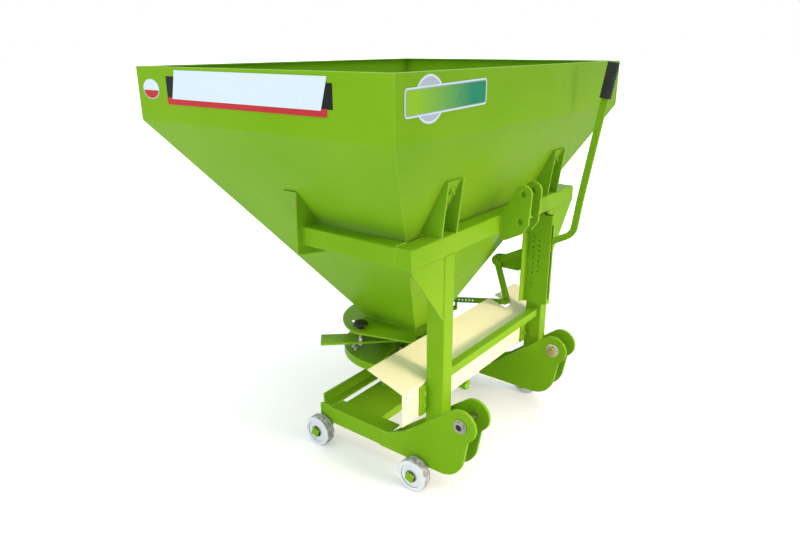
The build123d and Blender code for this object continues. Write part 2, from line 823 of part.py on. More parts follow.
# Shutter arm: a flat bar welded to the plate's rim, its end turned up and slotted for the link
lug_y = link_end_y
lug_end = lug_x + setting_thickness / 2
lug_angle = atan2(lug_y - disc_y, lug_x)
arm_root = plate_radius - thin_plate
with BuildPart() as shutter_arm:
    with BuildSketch(Plane.XY.offset(shutter_foot)):
        bar_face(
            (arm_root * cos(lug_angle), disc_y + arm_root * sin(lug_angle)), (lug_x, lug_y), arm_width
        )
        with Locations((0, disc_y)):
            Circle(plate_radius + weld_gap, mode=Mode.SUBTRACT)
        with Locations((lug_end, lug_y)):
            Rectangle(arm_width, 2 * arm_width, align=(Align.MIN, Align.CENTER), mode=Mode.SUBTRACT)
    extrude(amount=thin_plate)
    with BuildSketch(Plane.YZ.offset(lug_x - setting_thickness / 2)):
        with Locations((lug_y, shutter_foot + lug_height / 2)):
            Rectangle(lug_length, lug_height)
        with Locations((lug_y, link_end_z)):
            SlotOverall(lug_slot_height, lug_slot_width, rotation=90, mode=Mode.SUBTRACT)
    extrude(amount=setting_thickness)
keep(shutter_arm, "shutter_arm")

# Quadrant plate round the near side of the band, with the arc slot that the knob slides in
with BuildPart() as quadrant:
    with BuildSketch(Plane.XY.offset(outlet_z - thin_plate)):
        with BuildLine():
            rim = CenterArc(
                (0, disc_y), quadrant_radius, quadrant_start_angle, quadrant_end_angle - quadrant_start_angle
            )
            Polyline(
                rim @ 1,
                (quadrant_corner_x, quadrant_corner_y),
                (-band_x, disc_y - band_y),
                (-band_x, disc_y + band_y),
                ((rim @ 0).X, disc_y + band_y),
                rim @ 0,
            )
        make_face()
        track = CenterArc(
            (0, disc_y), slot_radius, slot_start_angle, slot_end_angle - slot_start_angle, mode=Mode.PRIVATE
        )
        SlotArc(track, slot_width, mode=Mode.SUBTRACT)
    extrude(amount=thin_plate)
keep(quadrant, "quadrant_plate")

# Setting lever: the tapered bar of the lower ported plate, with the hub that carries the shutter
run_x = setting_end_x - setting_root_x
run_y = setting_end_y - setting_root_y
across_x = run_y / hypot(run_x, run_y)
across_y = -run_x / hypot(run_x, run_y)
knob_x = slot_radius * cos(radians(knob_angle))
knob_y = disc_y + slot_radius * sin(radians(knob_angle))
with BuildPart() as setting_lever:
    with BuildSketch(Plane.XY.offset(setting_foot)):
        with Locations((0, disc_y)):
            Circle(plate_radius)
        with BuildLine():
            Polyline(
                *(
                    (x + turn * width / 2 * across_x, y + turn * width / 2 * across_y)
                    for x, y, width, turn in (
                        (setting_root_x, setting_root_y, setting_root_width, 1),
                        (setting_end_x, setting_end_y, setting_end_width, 1),
                        (setting_end_x, setting_end_y, setting_end_width, -1),
                        (setting_root_x, setting_root_y, setting_root_width, -1),
                    )
                ),
                close=True,
            )
        make_face()
        with Locations((0, disc_y)):
            Circle(bush_radius + pin_clearance, mode=Mode.SUBTRACT)
        for index in range(port_count):
            start = index * 360 / port_count - port_angle / 2
            add(sector(port_inner, port_outer, start, port_angle), mode=Mode.SUBTRACT)
        with Locations((knob_x, knob_y)):
            Circle(knob_stem / 2 + pin_clearance, mode=Mode.SUBTRACT)
    extrude(amount=setting_thickness)
    with BuildSketch(Plane.XY.offset(setting_top)):
        with Locations((0, disc_y)):
            Circle(port_inner - slide_clearance)
            Circle(bush_radius + pin_clearance, mode=Mode.SUBTRACT)
    extrude(amount=setting_gap - weld_gap)
keep(setting_lever, "setting_lever")

# Clamp knob: a domed head on a bolt that passes the arc slot and the setting lever
knob_foot = outlet_z + slide_clearance
knob_top = knob_foot + knob_skirt + knob_height
knob_plane = Plane(origin=(knob_x, knob_y, 0), x_dir=(1, 0, 0), z_dir=(0, -1, 0))
with BuildPart() as knob:
    with BuildSketch(knob_plane) as profile:
        with BuildLine():
            Polyline(
                (0, setting_foot - bolt_head),
                (knob_stem, setting_foot - bolt_head),
                (knob_stem, setting_foot),
                (knob_stem / 2, setting_foot),
                (knob_stem / 2, outlet_z),
                (knob_collar, outlet_z),
                (knob_collar, knob_foot),
                (knob_stem, knob_foot),
                (knob_stem, knob_foot + knob_skirt / 4),
                (knob_radius, knob_foot + knob_skirt),
                (knob_radius, knob_foot + knob_skirt + knob_height / 4),
                (0.8 * knob_radius, knob_top),
                (0, knob_top),
                close=True,
            )
        make_face()
        fillet(profile.vertices().sort_by_distance((0.8 * knob_radius, knob_top))[0], knob_height / 2)
    revolve(axis=Axis((knob_x, knob_y, 0), (0, 0, 1)))
keep(knob, "clamp_knob")

# Slotted guide: folded sheet on the front of the left post, its side pierced with index holes
guide_lip_x = post_inner_x + guide_sheet
with BuildPart() as guide:
    with BuildSketch(Plane.XY.offset(guide_foot)):
        with BuildLine():
            Polyline(
                (guide_x, guide_rear),
                (guide_x, -guide_front),
                (guide_lip_x, -guide_front),
                (guide_lip_x, 0),
                (post_inner_x, 0),
                (post_inner_x, guide_sheet - guide_front),
                (guide_x + guide_sheet, guide_sheet - guide_front),
                (guide_x + guide_sheet, guide_rear),
                close=True,
            )
        make_face()
    extrude(amount=guide_top - guide_foot)
    with BuildSketch(Plane.XZ.offset(guide_front)):
        with Locations((lever_x, (guide_slot_top + guide_slot_foot) / 2)):
            SlotOverall(guide_slot_top - guide_slot_foot, guide_slot_width, rotation=90)
    extrude(amount=-guide_sheet, mode=Mode.SUBTRACT)
    with BuildSketch(Plane.YZ.offset(guide_x)):
        for row_y, row_z, count in (
            (index_rear_y, index_rear_z, index_rear_count),
            (index_front_y, index_front_z, index_front_count),
        ):
            for index in range(count):
                with Locations((row_y, row_z - index * index_pitch)):
                    Circle(index_hole / 2)
    extrude(amount=guide_sheet, mode=Mode.SUBTRACT)
keep(guide, "lever_guide")

# Pivot plate on the rear face of the left post, with its boss and the pin through the lever
boss_end = lever_x + lever_thickness / 2 + weld_gap
head_end = lever_x - lever_thickness / 2 - weld_gap
with BuildPart() as pivot_plate:
    with BuildSketch(Plane.YZ.offset(post_inner_x)):
        with BuildLine():
            Polyline(
                (post_depth, pivot_z + mount_rise),
                (pivot_y, pivot_z + lever_width),
                (pivot_y + mount_tail, pivot_z - mount_drop / 2),
                (pivot_y + mount_tail / 2, pivot_z - mount_drop),
                (post_depth + mount_rise, pivot_z - mount_drop),
                (post_depth, pivot_z - mount_drop / 3),
                close=True,
            )
        make_face()
        with Locations((pivot_y, pivot_z)):
            Circle(lever_width)
    extrude(amount=mount_thickness)
    with BuildSketch(Plane.YZ.offset(boss_end)):
        with Locations((pivot_y, pivot_z)):
            Circle(pivot_diameter * 0.8)
    extrude(amount=post_inner_x - boss_end)
    with BuildSketch(Plane.YZ.offset(head_end - pivot_head)):
        with Locations((pivot_y, pivot_z)):
            Circle(pivot_diameter / 2)
    extrude(amount=boss_end - head_end + pivot_head)
    with BuildSketch(Plane.YZ.offset(head_end - pivot_head)):
        with Locations((pivot_y, pivot_z)):
            RegularPolygon(pivot_diameter * 0.75, 6, major_radius=False)
    extrude(amount=pivot_head)
keep(pivot_plate, "lever_pivot_plate")

# Control lever: the long bent handle and the short hanging arm with the link's front pin
grip_run = hypot(handle_y - knee_y, handle_z - knee_z)
grip_dir_y = (handle_y - knee_y) / grip_run
grip_dir_z = (handle_z - knee_z) / grip_run
lever_face = lever_x - lever_thickness / 2
link_x = lever_face - slide_clearance - link_thickness
with BuildPart() as control_lever:
    with BuildSketch(Plane.YZ.offset(lever_face)):
        with BuildLine():
            FilletPolyline(
                (pivot_y, pivot_z),
                (elbow_y, elbow_z),
                (knee_y, knee_z),
                (handle_y - bar_end * grip_dir_y, handle_z - bar_end * grip_dir_z),
                radius=(elbow_radius, knee_radius),
            )
        trace(line_width=lever_width)
        with Locations((pivot_y, pivot_z)):
            Circle(lever_width * 0.9)
        bar_face((pivot_y, pivot_z), (link_y, link_z), lever_width)
        with Locations((pivot_y, pivot_z)):
            Circle(pivot_diameter / 2 + pin_clearance, mode=Mode.SUBTRACT)
    extrude(amount=lever_thickness)
    with BuildSketch(Plane.YZ.offset(lever_face)):
        with Locations((link_y, link_z)):
            Circle(link_pin / 2)
    extrude(amount=link_x - lever_face - slide_clearance - weld_gap)
    with BuildSketch(Plane.YZ.offset(link_x - weld_gap)):
        with Locations((link_y, link_z)):
            Circle(link_pin)
    extrude(amount=-slide_clearance * 2)
keep(control_lever, "control_lever")

# Grip of ribbed rubber over the end of the handle
grip_plane = Plane(
    origin=(
        lever_x,
        handle_y - grip_length * grip_dir_y,
        handle_z - grip_length * grip_dir_z,
    ),
    x_dir=(1, 0, 0),
    z_dir=(0, grip_dir_y, grip_dir_z),
)
rib_pitch = grip_length / (grip_ribs + 0.5)
with BuildPart() as grip:
    with BuildSketch(grip_plane):
        RectangleRounded(grip_width - 2 * grip_rib_depth, grip_depth - 2 * grip_rib_depth, grip_width / 3)
    extrude(amount=grip_length)
    for index in range(grip_ribs + 1):
        with BuildSketch(grip_plane.offset(index * rib_pitch)):
            RectangleRounded(grip_width, grip_depth, grip_width / 3)
        extrude(amount=rib_pitch / 2)
    with BuildSketch(grip_plane):
        Rectangle(lever_thickness, lever_width)
    extrude(amount=grip_length - bar_end, mode=Mode.SUBTRACT)
keep(grip, "lever_grip")

# Link from the hanging arm to the slotted lug, with spare holes and its rear pin
link_run = hypot(link_end_y - link_y, link_end_z - link_z)
link_dir_y = (link_end_y - link_y) / link_run
link_dir_z = (link_end_z - link_z) / link_run
with BuildPart() as link:
    with BuildSketch(Plane.YZ.offset(link_x)):
        bar_face((link_y, link_z), (link_end_y, link_end_z), link_width)
        with Locations((link_y, link_z)):
            Circle(link_pin / 2 + pin_clearance, mode=Mode.SUBTRACT)
        for index in range(1, link_holes + 1):
            back = link_run - index * link_hole_pitch
            with Locations((link_y + back * link_dir_y, link_z + back * link_dir_z)):
                Circle(link_pin / 2, mode=Mode.SUBTRACT)
    extrude(amount=link_thickness)
    with BuildSketch(Plane.YZ.offset(link_x + link_thickness)):
        with Locations((link_end_y, link_end_z)):
            RegularPolygon(link_pin * 0.75, 6, major_radius=False)
    extrude(amount=link_head)
    with BuildSketch(Plane.YZ.offset(link_x)):
        with Locations((link_end_y, link_end_z)):
            Circle(link_pin / 2)
    extrude(amount=-link_reach)
keep(link, "link_rod")
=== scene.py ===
"""Looks of a three-point mounted fertilizer spreader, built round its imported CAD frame."""
import math

import bmesh
import bpy
from mathutils import Matrix, Vector


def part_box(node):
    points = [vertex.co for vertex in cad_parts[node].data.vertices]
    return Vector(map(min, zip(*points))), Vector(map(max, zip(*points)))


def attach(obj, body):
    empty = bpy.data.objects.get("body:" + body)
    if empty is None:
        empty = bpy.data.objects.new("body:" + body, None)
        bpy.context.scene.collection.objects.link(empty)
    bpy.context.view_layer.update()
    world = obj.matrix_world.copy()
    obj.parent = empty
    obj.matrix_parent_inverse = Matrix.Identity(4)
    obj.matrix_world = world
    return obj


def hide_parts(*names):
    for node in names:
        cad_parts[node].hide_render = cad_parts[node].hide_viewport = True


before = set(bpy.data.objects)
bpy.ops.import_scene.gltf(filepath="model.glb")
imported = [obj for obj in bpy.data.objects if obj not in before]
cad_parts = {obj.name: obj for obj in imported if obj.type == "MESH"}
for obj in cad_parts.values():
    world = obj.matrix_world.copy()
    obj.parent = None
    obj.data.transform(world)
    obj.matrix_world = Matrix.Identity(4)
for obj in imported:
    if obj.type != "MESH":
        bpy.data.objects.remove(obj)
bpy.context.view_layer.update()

# Hopper. Folded 3 mm sheet, welded along the four corners, ground down to a thin bead and powder
# coated lime green like the frame. Along every plate's edge a thin pale line is painted into the
# colour as a highlight, in place of the light that rounded edges would catch.
lime = (0.168, 0.388, 0.007)
lime_light = (0.215, 0.430, 0.018)
# Pale green of the highlight painted along plate edges.
lime_edge_highlight = (0.46, 0.66, 0.14)
lime_gloss = (0.62, 0.90, 0.22)
peel_size = 420.0
corner_bead = 0.0022
cloud_scale = 2.6
speck_scale = 55.0
speck_share = 0.12


def mix_colour(tree, factor, low, high):
    """Mix a colour or a colour socket with a colour, by a factor socket."""
    mix = tree.nodes.new("ShaderNodeMix")
    mix.data_type = "RGBA"
    if isinstance(low, tuple):
        mix.inputs["A"].default_value = (*low, 1.0)
    else:
        tree.links.new(low, mix.inputs["A"])
    mix.inputs["B"].default_value = (*high, 1.0)
    tree.links.new(factor, mix.inputs["Factor"])
    return mix.outputs["Result"]


def noise(tree, scale, detail, place):
    """Noise over the object's own coordinates, in features per metre."""
    node = tree.nodes.new("ShaderNodeTexNoise")
    node.inputs["Scale"].default_value = scale
    node.inputs["Detail"].default_value = detail
    tree.links.new(place, node.inputs["Vector"])
    return node.outputs["Fac"]


def ranged(tree, value, low, high, start=0.3, stop=0.7):
    """Spread the part of a socket's range from start to stop between two numbers."""
    node = tree.nodes.new("ShaderNodeMapRange")
    node.inputs["From Min"].default_value = start
    node.inputs["From Max"].default_value = stop
    node.inputs["To Min"].default_value = low
    node.inputs["To Max"].default_value = high
    tree.links.new(value, node.inputs["Value"])
    return node.outputs["Result"]


def combined(tree, operation, first, second):
    """Result socket of one sum of a socket with a socket or a number."""
    node = tree.nodes.new("ShaderNodeMath")
    node.operation = operation
    tree.links.new(first, node.inputs[0])
    if isinstance(second, float):
        node.inputs[1].default_value = second
    else:
        tree.links.new(second, node.inputs[1])
    return node.outputs[0]


def finish_of(name, dark, light, rough, metal=0.0, grain=420.0, depth=0.00004, edge=0.0012,
              coat=0.0, shine=0.5, gloss=(1.0, 1.0, 1.0), edge_highlight=None):
    """Material with cloudy colour, uneven roughness, a fine bumpy skin and softened edges; an edge_highlight
    colour paints a highlight along the edges instead of softening them.
    """
    material = bpy.data.materials.new(name)
    material.use_nodes = True
    tree = material.node_tree
    shader = tree.nodes["Principled BSDF"]
    shader.inputs["Metallic"].default_value = metal
    shader.inputs["Specular IOR Level"].default_value = shine
    shader.inputs["Specular Tint"].default_value = (*gloss, 1.0)
    shader.inputs["Coat Weight"].default_value = coat
    shader.inputs["Coat Roughness"].default_value = 0.15
    place = tree.nodes.new("ShaderNodeTexCoord").outputs["Object"]
    speck = noise(tree, speck_scale, 4.0, place)
    clouds = noise(tree, cloud_scale, 5.0, place)
    clouds = combined(tree, "ADD", combined(tree, "MULTIPLY", speck, speck_share), clouds)
    colour = mix_colour(tree, ranged(tree, clouds, 0.0, 1.0, 0.36, 0.76), dark, light)
    bevel = tree.nodes.new("ShaderNodeBevel")
    bevel.samples = 6
    bevel.inputs["Radius"].default_value = edge
    # Painted highlight: where the bevel normal leans from the true normal, the colour turns towards the edge
    # highlight colour, standing in for the light a rounded edge catches.
    if edge_highlight:
        lean = tree.nodes.new("ShaderNodeVectorMath")
        lean.operation = "DOT_PRODUCT"
        tree.links.new(bevel.outputs["Normal"], lean.inputs[0])
        tree.links.new(tree.nodes.new("ShaderNodeNewGeometry").outputs["True Normal"], lean.inputs[1])
        edge_highlight_mask = ranged(tree, lean.outputs["Value"], 0.8, 0.0, 0.80, 0.98)
        edge_highlight_mask = combined(tree, "MULTIPLY", edge_highlight_mask, ranged(tree, speck, 0.5, 1.0))
        colour = mix_colour(tree, edge_highlight_mask, colour, edge_highlight)
    tree.links.new(colour, shader.inputs["Base Color"])
    tree.links.new(ranged(tree, speck, rough * 0.8, rough * 1.25), shader.inputs["Roughness"])
    bump = tree.nodes.new("ShaderNodeBump")
    bump.inputs["Distance"].default_value = depth
    tree.links.new(noise(tree, grain, 2.0, place), bump.inputs["Height"])
    if not edge_highlight:
        tree.links.new(bevel.outputs["Normal"], bump.inputs["Normal"])
    tree.links.new(bump.outputs["Normal"], shader.inputs["Normal"])
    return material


green_coat = finish_of("green_coat", lime, lime_light, 0.34, grain=peel_size, edge=0.0018,
                       shine=0.06, gloss=lime_gloss, edge_highlight=lime_edge_highlight)


def coat(material, *nodes):
    """Give CAD nodes a material in every slot."""
    for node in nodes:
        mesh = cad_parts[node].data
        if not mesh.materials:
            mesh.materials.append(material)
        for slot in range(len(mesh.materials)):
            mesh.materials[slot] = material


def piece_from(name, mesh, material, body):
    """Make an object of a bmesh, smooth its round faces and let it ride on a body."""
    data = bpy.data.meshes.new(name)
    mesh.to_mesh(data)
    mesh.free()
    data.materials.append(material)
    thing = bpy.data.objects.new(name, data)
    bpy.context.scene.collection.objects.link(thing)
    data.shade_smooth()
    data.set_sharp_from_angle(angle=math.radians(38))
    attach(thing, body)
    return thing


def join_rings(mesh, rings):
    """Skin a row of rings of points and close its two ends."""
    for near, far in zip(rings, rings[1:]):
        for side in range(len(near)):
            after = (side + 1) % len(near)
            mesh.faces.new((near[side], near[after], far[after], far[side]))
    mesh.faces.new(list(reversed(rings[0])))
    mesh.faces.new(rings[-1])


def add_turned(mesh, place, axis, profile, sides=32):
    """Turned or polygonal form: rings of (distance along the axis, radius) from a place."""
    turn = Vector(axis).to_track_quat("Z", "Y").to_matrix()
    rings = []
    for along, radius in profile:
        ring = []
        for side in range(sides):
            around = 2 * math.pi * side / sides
            offset = Vector((radius * math.cos(around), radius * math.sin(around), along))
            ring.append(mesh.verts.new(Vector(place) + turn @ offset))
        rings.append(ring)
    join_rings(mesh, rings)


def add_bead(mesh, start, end, radius, ripple=0.006, sides=8):
    """Weld bead between two points, whose ripples swell and shrink."""
    run = Vector(end) - Vector(start)
    steps = max(4, round(run.length / ripple * 2))
    profile = []
    for step in range(steps + 1):
        size = radius * (1.0 if step % 2 else 0.82) * (0.35 if step in (0, steps) else 1.0)
        profile.append((run.length * step / steps, size))
    add_turned(mesh, start, run, profile, sides)


coat(green_coat, "hopper")
low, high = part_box("hopper")
mouth_x = high[0]
mouth_front = low[1]
mouth_rear = high[1]
rim_top = high[2]
rim_foot = rim_top - 0.135
outlet_x = 0.070
outlet_front = 0.261
outlet_rear = 0.463
outlet_top = low[2]
seams = bmesh.new()
for side in (-1, 1):
    for mouth_y, outlet_y in ((mouth_front, outlet_front), (mouth_rear, outlet_rear)):
        inset = 0.0012
        corner_x = side * (mouth_x - inset)
        corner_y = mouth_y + (inset if mouth_y < 0 else -inset)
        knee = (corner_x, corner_y, rim_foot)
        add_bead(seams, knee, (corner_x, corner_y, rim_top - 0.004), corner_bead)
        add_bead(seams, knee, (side * outlet_x, outlet_y, outlet_top + 0.004), corner_bead)
piece_from("hopper_corner_welds", seams, green_coat, "frame")

# Blank signs on the rim band. Printed self-adhesive film: a slanted white banner over black ends
# and a red foot, an oval label with a red foot, and a green label on an oval on the tractor side.
film = 0.0004
banner_white = ((0.620, 1.115), (0.107, 1.113), (0.127, 1.045), (0.638, 1.046))
banner_red = ((0.660, 1.049), (0.110, 1.049), (0.110, 1.032), (0.660, 1.032))
banner_black = ((0.659, 1.100), (0.094, 1.100), (0.094, 1.048), (0.659, 1.048))
round_label = (0.728, 1.067, 0.035, 0.0245)
side_label = ((-0.552, -0.249), (1.0365, 1.0935))
side_label_tilt = 0.027
oval_label = (-0.467, 1.069, 0.051, 0.048)
oval_border = 0.005


def film_of(name, dark, light):
    """Printed film with a slight waviness."""
    return finish_of(name, dark, light, 0.32, grain=90.0, depth=0.00008, edge=0.0003, coat=0.05, shine=0.2)


white_film = film_of("white_film", (0.64, 0.76, 0.85), (0.67, 0.79, 0.87))
line_film = film_of("line_film", (0.30, 0.42, 0.38), (0.34, 0.46, 0.42))
pale_film = film_of("pale_film", (0.36, 0.44, 0.54), (0.50, 0.57, 0.66))
red_film = film_of("red_film", (0.46, 0.022, 0.028), (0.52, 0.032, 0.038))
black_film = film_of("black_film", (0.004, 0.006, 0.004), (0.010, 0.014, 0.010))


def rounded_outline(across, up, radius, steps=6):
    """Points of a rectangle with rounded corners, anticlockwise."""
    points = []
    corners = ((across[1], up[1]), (across[0], up[1]), (across[0], up[0]), (across[1], up[0]))
    for turn, (x, z) in enumerate(corners):
        centre_x = x - math.copysign(radius, x - sum(across) / 2)
        centre_z = z - math.copysign(radius, z - sum(up) / 2)
        for step in range(steps + 1):
            angle = math.pi / 2 * (turn + step / steps)
            points.append((centre_x + radius * math.cos(angle), centre_z + radius * math.sin(angle)))
    return points


def oval_outline(across, up, half_across, half_up, steps=48):
    """Points of an ellipse, anticlockwise."""
    angles = [2 * math.pi * step / steps for step in range(steps)]
    return [(across + half_across * math.cos(a), up + half_up * math.sin(a)) for a in angles]


def sticker(name, outline, face, layer, material):
    """Thin film of an outline, laid on the near side face ("x") or the tractor face ("y") of the rim."""
    mesh = bmesh.new()
    skins = []
    for depth in (0.0001, film):
        away = depth + layer * film
        if face == "x":
            skins.append([mesh.verts.new((-mouth_x - away, across, up)) for across, up in outline])
        else:
            skins.append([mesh.verts.new((across, mouth_front - away, up)) for across, up in outline])
    join_rings(mesh, skins)
    bmesh.ops.recalc_face_normals(mesh, faces=mesh.faces)
    return piece_from(name, mesh, material, "frame")


def label_outline(inset):
    """Outline of the tilted green label, drawn in by an inset."""
    across = (side_label[0][0] + inset, side_label[0][1] - inset)
    up = (side_label[1][0] + inset, side_label[1][1] - inset)
    square = rounded_outline(across, up, 0.009 - inset)
    return [(x, z + (x - side_label[0][0]) * side_label_tilt) for x, z in square]


sticker("banner_black_ends", banner_black, "x", 0, black_film)
sticker("banner_red_foot", banner_red, "x", 1, red_film)
sticker("banner_white_field", banner_white, "x", 2, white_film)
across, up, half_across, half_up = round_label
sticker("round_label", oval_outline(across, up, half_across, half_up), "x", 0, white_film)
inner_oval = oval_outline(across, up, half_across * 0.93, half_up * 0.93)
sticker("round_label_foot", [p for p in inner_oval if p[1] < up - half_up * 0.12], "x", 1, red_film)

label_green = film_of("label_green", (0.12, 0.42, 0.05), (0.16, 0.48, 0.06))
tree = label_green.node_tree
spread = tree.nodes.new("ShaderNodeSeparateXYZ")
tree.links.new(tree.nodes["Texture Coordinate"].outputs["Object"], spread.inputs["Vector"])
fade = ranged(tree, spread.outputs["X"], 0.0, 1.0, side_label[0][0] + 0.04, side_label[0][1] - 0.06)
label_colour = mix_colour(tree, fade, (0.26, 0.52, 0.012), (0.004, 0.235, 0.125))
tree.links.new(label_colour, tree.nodes["Principled BSDF"].inputs["Base Color"])
across, up, half_across, half_up = oval_label
sticker("label_oval", oval_outline(across, up, half_across, half_up), "y", 0, white_film)
field_oval = oval_outline(across, up, half_across - oval_border, half_up - oval_border)
sticker("label_oval_field", field_oval, "y", 1, pale_film)
for layer, (name, inset, material) in enumerate((
    ("label_border", 0.0, white_film),
    ("label_line", 0.0035, line_film),
    ("label_field", 0.0055, label_green),
)):
    sticker(name, label_outline(inset), "y", layer + 2, material)

# Upper frame. 50 mm square tube mitred and welded, posts of rectangular tube under it with
# gussets in the corners, and a small square bar between the posts; all in the same green coat.
beam_end = 0.443
beam_wall_in = beam_end - 0.050
beam_rear = 0.050
beam_top = 0.735
beam_foot = 0.685
post_inner = 0.262
post_outer = 0.305
post_rear = 0.055
gusset_inner = 0.308
gusset_outer = 0.441
gusset_foot = 0.522
cross_bar_heights = (0.332, 0.356)
cross_bar_span = (0.014, 0.036)
tube_face = 0.0015
fillet = 0.0026
light_fillet = 0.0022
thin_fillet = 0.0020
upper_frame = ["front_beam", "cross_bar"]
for side in ("left", "right"):
    upper_frame += [f"{stem}_{side}" for stem in ("side_beam", "post", "gusset")]
coat(green_coat, *upper_frame)
welds = bmesh.new()
for side in (-1, 1):
    for height in (beam_foot, beam_top):
        add_bead(welds, (side * (beam_wall_in + 0.002), beam_rear, height),
                 (side * (beam_end - 0.002), beam_rear, height), fillet)
    add_bead(welds, (side * beam_wall_in, beam_rear, beam_foot + 0.002),
             (side * beam_wall_in, beam_rear, beam_top - 0.002), fillet)
    for x in (post_inner, post_outer):
        add_bead(welds, (side * x, 0.001, beam_foot), (side * x, beam_rear, beam_foot), fillet)
    add_bead(welds, (side * (post_inner + 0.001), 0.0, beam_foot),
             (side * (post_outer - 0.001), 0.0, beam_foot), fillet)
    add_bead(welds, (side * gusset_inner, tube_face, beam_foot),
             (side * gusset_outer, tube_face, beam_foot), thin_fillet)
    add_bead(welds, (side * post_outer, tube_face, gusset_foot),
             (side * post_outer, tube_face, beam_foot), thin_fillet)
    for height in cross_bar_heights:
        add_bead(welds, (side * post_inner, cross_bar_span[0], height),
                 (side * post_inner, cross_bar_span[1], height), thin_fillet)
piece_from("upper_frame_welds", welds, green_coat, "frame")

# Hopper brackets. Folded channels on the front beam and end plates with a wall flange on the side
# beams, welded at their foot and bolted to the funnel near their top: painted bolts in front and
# yellow zinc-plated ones at the sides.
zinc = finish_of("zinc_plate", (0.40, 0.40, 0.36), (0.60, 0.60, 0.56), 0.32, metal=0.9,
                 grain=900.0, depth=0.00003, edge=0.0005)
yellow_zinc = finish_of("yellow_zinc", (0.34, 0.28, 0.10), (0.58, 0.50, 0.22), 0.38, metal=0.8,
                        grain=900.0, depth=0.00003, edge=0.0005)
painted_bolt = finish_of("painted_bolt", lime, lime_light, 0.38, grain=peel_size, edge=0.0006,
                         shine=0.4, gloss=lime_gloss, edge_highlight=lime_edge_highlight)


def add_bolt(mesh, place, axis, across=0.013, height=0.006, washer=0.0115, thread=0.0):
    """Hexagon head with a chamfered crown on a washer; thread adds the end of its screw."""
    corner = across / 2 / math.cos(math.pi / 6)
    add_turned(mesh, place, axis, ((0.0, washer), (0.0012, washer), (0.0016, washer * 0.96)), 20)
    add_turned(mesh, place, axis, (
        (0.0012, corner), (height - 0.001, corner), (height, corner * 0.94), (height + 0.0004, corner * 0.8),
    ), 6)
    if thread:
        turns = 2 * max(2, round(thread / 0.0014))
        ridges = []
        for step in range(turns + 1):
            ridges.append((height + thread * step / turns, across * (0.27 if step % 2 else 0.235)))
        add_turned(mesh, place, axis, ridges, 12)


def funnel_front(height):
    """Y of the funnel's front face at a height."""
    return mouth_front + (rim_foot - height) * (outlet_front - mouth_front) / (rim_foot - outlet_top)


def funnel_side(height):
    """Distance from the middle plane to the funnel's side face at a height."""
    return mouth_x - (rim_foot - height) * (mouth_x - outlet_x) / (rim_foot - outlet_top)


for side in ("left", "right"):
    coat(green_coat, f"front_bracket_{side}", f"side_bracket_{side}")
front_bracket_x = 0.287
front_bracket_edges = (0.2525, 0.3215)
front_bolt_height = 0.846
front_plate = 0.0050
side_bolt_height = 0.800
side_bolt_y = 0.367
side_plate = 0.0044
plate_face = 0.345
front_away = Vector((0, -(rim_foot - outlet_top), -(outlet_front - mouth_front))).normalized()
side_fall = (mouth_x - outlet_x) / (rim_foot - outlet_top)
front_bolts = bmesh.new()
side_bolts = bmesh.new()
for side in (-1, 1):
    spot = Vector((side * front_bracket_x, funnel_front(front_bolt_height), front_bolt_height))
    add_bolt(front_bolts, spot + front_away * front_plate, front_away, thread=0.008)
    away = Vector((side, 0, -side_fall)).normalized()
    spot = Vector((side * funnel_side(side_bolt_height), side_bolt_y, side_bolt_height))
    add_bolt(side_bolts, spot + away * side_plate, away, thread=0.008)
piece_from("front_bracket_bolts", front_bolts, painted_bolt, "frame")
piece_from("side_bracket_bolts", side_bolts, yellow_zinc, "frame")
welds = bmesh.new()
for side in (-1, 1):
    for x in front_bracket_edges:
        add_bead(welds, (side * x, 0.004, beam_top), (side * x, 0.049, beam_top), light_fillet)
    for x in (beam_wall_in, beam_end):
        add_bead(welds, (side * x, plate_face, beam_foot), (side * x, plate_face, beam_top), light_fillet)
    for height in (beam_foot, beam_top):
        add_bead(welds, (side * beam_wall_in, plate_face, height),
                 (side * beam_end, plate_face, height), light_fillet)
piece_from("bracket_welds", welds, green_coat, "frame")

# Top-link ears. Flame-cut 8 mm plate set on edge on the front beam, with a fillet weld each side.
coat(green_coat, "top_link_ear_left", "top_link_ear_right")
ear_faces = (-0.0335, -0.0245, 0.0245, 0.0335)
ear_foot = 0.667
welds = bmesh.new()
for x in ear_faces:
    add_bead(welds, (x, -0.0004, ear_foot), (x, -0.0004, beam_top - 0.001), 0.0028)
piece_from("ear_welds", welds, green_coat, "frame")

# Lower hitch. Two flame-cut cheek plates a side, welded to the post and its spacer, with a turned
# and zinc-plated pin between them: a collar with a drilled end outside, a washer and a castle nut
# with its split pin inside.
hitch_y = -0.061
hitch_z = 0.238
cheek_outside = 0.313
pin_head_face = 0.318
cheek_inside = 0.236
cheek_foot = 0.090
cheek_top_front = 0.246
cheek_top_rear = 0.203
cheek_slope_front = 0.2485
cheek_slope_rear = 0.2065
spacer_weld_x = 0.244
spacer_weld_y = 0.0045
spacer_weld_heights = (0.097, 0.190)
nut_posts = 6
steel = finish_of("turned_steel", (0.36, 0.35, 0.33), (0.58, 0.58, 0.56), 0.30, metal=1.0,
                  grain=1300.0, depth=0.00003, edge=0.0006)
# Near-black finish for painted shade, laid where a hole or recess lies in shade.
painted_shade_black = finish_of("painted_shade_black", (0.012, 0.013, 0.013), (0.035, 0.034, 0.030), 0.5, metal=0.4,
                       grain=900.0, depth=0.00006, edge=0.0005)
for side in ("left", "right"):
    coat(green_coat, f"hitch_cheek_outer_{side}", f"hitch_cheek_inner_{side}")
    coat(steel, f"hitch_pin_{side}")
welds = bmesh.new()
collars = bmesh.new()
bore_shade_discs = bmesh.new()
nuts = bmesh.new()
pin_washers = bmesh.new()
